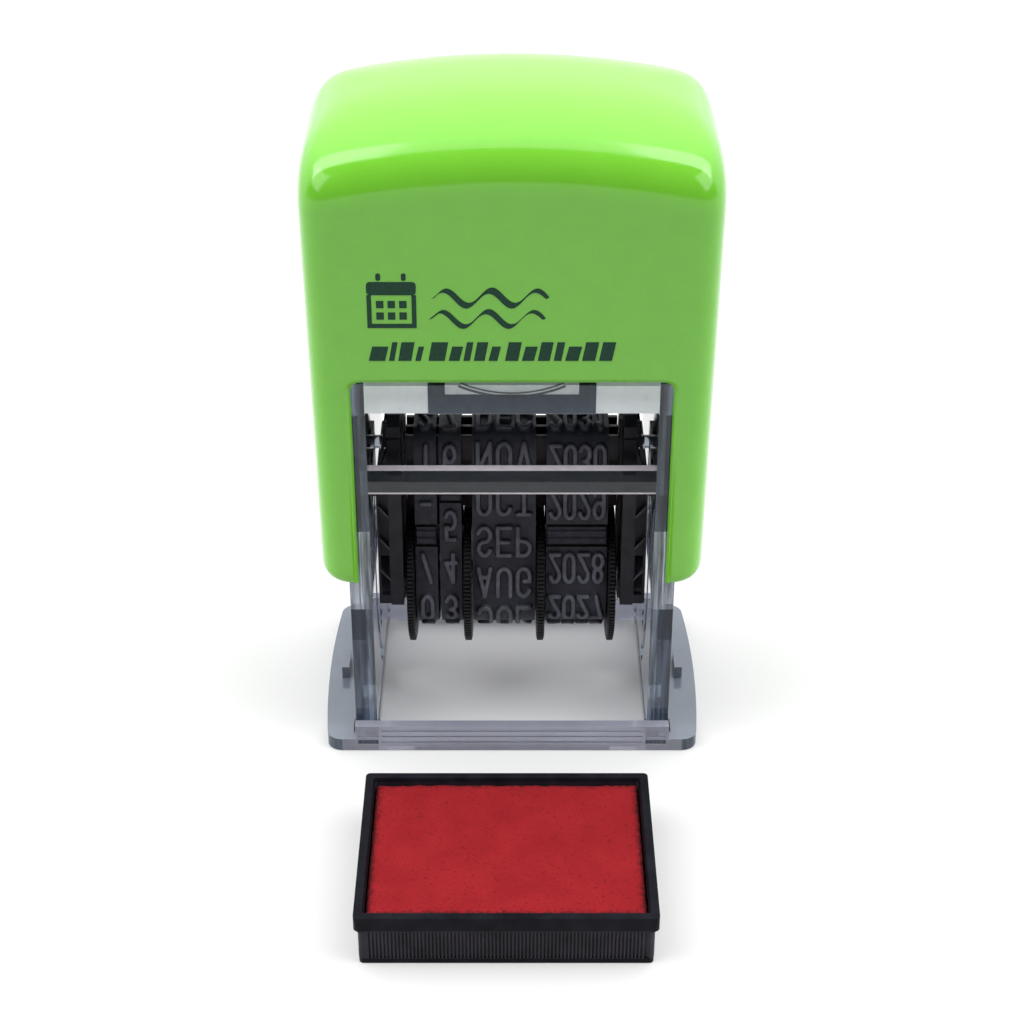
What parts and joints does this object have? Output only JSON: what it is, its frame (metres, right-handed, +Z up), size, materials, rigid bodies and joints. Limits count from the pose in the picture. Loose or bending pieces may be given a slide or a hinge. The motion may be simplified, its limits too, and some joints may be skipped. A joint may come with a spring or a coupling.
{
  "type": "rotary date stamp",
  "caption": "Pocket self-inking date stamp with a domed cap on a clear guide frame, a turn-over carrier of date bands and a separate ink pad cartridge.",
  "frame": {"origin": "middle of the underside of the base's front rail, on the table", "axes": "+X to the right of the person stamping, +Y away from them, +Z up along the cover's travel"},
  "size_m": [0.0392, 0.0567, 0.0684],
  "materials": {
    "green_plastic": "glossy moulded plastic, light green",
    "smoke_plastic": "clear moulded plastic with a blue-grey smoke tint",
    "black_plastic": "black moulded plastic, satin",
    "dark_rubber": "dark grey moulded rubber with raised type",
    "steel": "drawn steel wire and rod",
    "tray_plastic": "black moulded plastic with fine upright ribs",
    "red_felt": "dense felt soaked with red ink"
  },
  "bodies": {
    "frame": {"base_plate": "smoke_plastic", "guide_frame": "smoke_plastic", "return_spring": "steel"},
    "cap": {"cover": "green_plastic"},
    "carrier": {"left_cheek": "black_plastic", "right_cheek": "black_plastic", "type_bridge": "black_plastic", "front_tie_bar": "black_plastic", "rear_tie_bar": "black_plastic", "wheel_axle": "steel", "tens_band": "dark_rubber", "units_band": "dark_rubber", "month_band": "dark_rubber", "year_band": "dark_rubber"},
    "tens_thumbwheel": {"tens_wheel": "black_plastic"},
    "units_thumbwheel": {"units_wheel": "black_plastic"},
    "month_thumbwheel": {"month_wheel": "black_plastic"},
    "year_thumbwheel": {"year_wheel": "black_plastic"},
    "ink_pad": {"ink_pad_tray": "tray_plastic", "ink_pad_felt": "red_felt"}
  },
  "joints": [
    {"name": "cover_press", "type": "slide", "parent": "frame", "child": "cap", "axis": [0, 0, -1], "range_m": [0, 0.0161], "deforming": ["return_spring"]},
    {"name": "carrier_flip", "type": "hinge", "parent": "cap", "child": "carrier", "pos_m": [0, 0.01195, 0.0245], "axis": [1, 0, 0], "range_deg": [0, 180]},
    {"name": "tens_wheel_turn", "type": "hinge", "parent": "carrier", "child": "tens_thumbwheel", "pos_m": [0, 0.01195, 0.0144], "axis": [1, 0, 0], "continuous": true},
    {"name": "units_wheel_turn", "type": "hinge", "parent": "carrier", "child": "units_thumbwheel", "pos_m": [0, 0.01195, 0.0144], "axis": [1, 0, 0], "continuous": true},
    {"name": "month_wheel_turn", "type": "hinge", "parent": "carrier", "child": "month_thumbwheel", "pos_m": [0, 0.01195, 0.0144], "axis": [1, 0, 0], "continuous": true},
    {"name": "year_wheel_turn", "type": "hinge", "parent": "carrier", "child": "year_thumbwheel", "pos_m": [0, 0.01195, 0.0144], "axis": [1, 0, 0], "continuous": true},
    {"name": "ink_pad_lift", "type": "slide", "parent": "frame", "child": "ink_pad", "axis": [0, 0, 1], "range_m": [0, 0.0324]}
  ],
  "couplings": [
    {"joint": "carrier_flip", "follows": "cover_press", "rad_per_m": 195.13}
  ]
}
